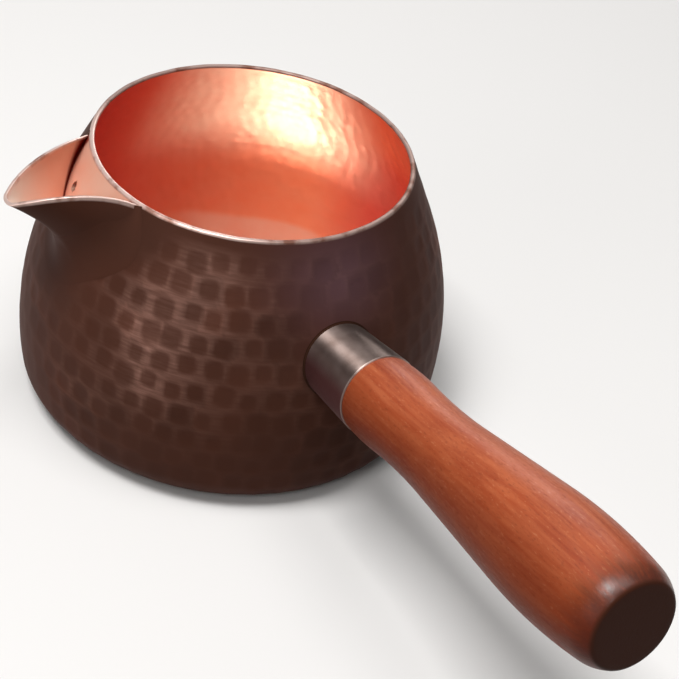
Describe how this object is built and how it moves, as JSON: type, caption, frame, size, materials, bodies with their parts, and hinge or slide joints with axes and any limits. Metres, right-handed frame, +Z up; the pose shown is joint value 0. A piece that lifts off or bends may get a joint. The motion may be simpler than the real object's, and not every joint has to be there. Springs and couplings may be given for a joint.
{
  "type": "side-handle pouring pot",
  "caption": "Open hand-hammered copper pouring pot with a beaked spout, pierced wall behind it, and a turned wooden side handle in a short metal socket.",
  "frame": {"origin": "centre of the flat base, on the bowl's axis, in the plane that the pot stands on", "axes": "+Z up along the bowl's axis, +X the level direction that the handle points, the spout 90 degrees clockwise of it seen from above"},
  "size_m": [0.2498, 0.1377, 0.0858],
  "materials": {
    "bowl_copper": "hammered copper, dark patina outside and bare inside",
    "beak_copper": "planished copper, dark patina outside and bare inside",
    "solder": "dressed and patinated solder",
    "socket_metal": "dark bronzed, satin",
    "grip_wood": "oiled reddish-brown hardwood",
    "pin_copper": "darkened copper"
  },
  "bodies": {
    "root": {"bowl": "bowl_copper", "spout_beak": "beak_copper", "spout_solder": "solder", "handle_socket": "socket_metal", "socket_solder": "solder", "grip": "grip_wood", "grip_pin": "pin_copper"}
  },
  "joints": []
}
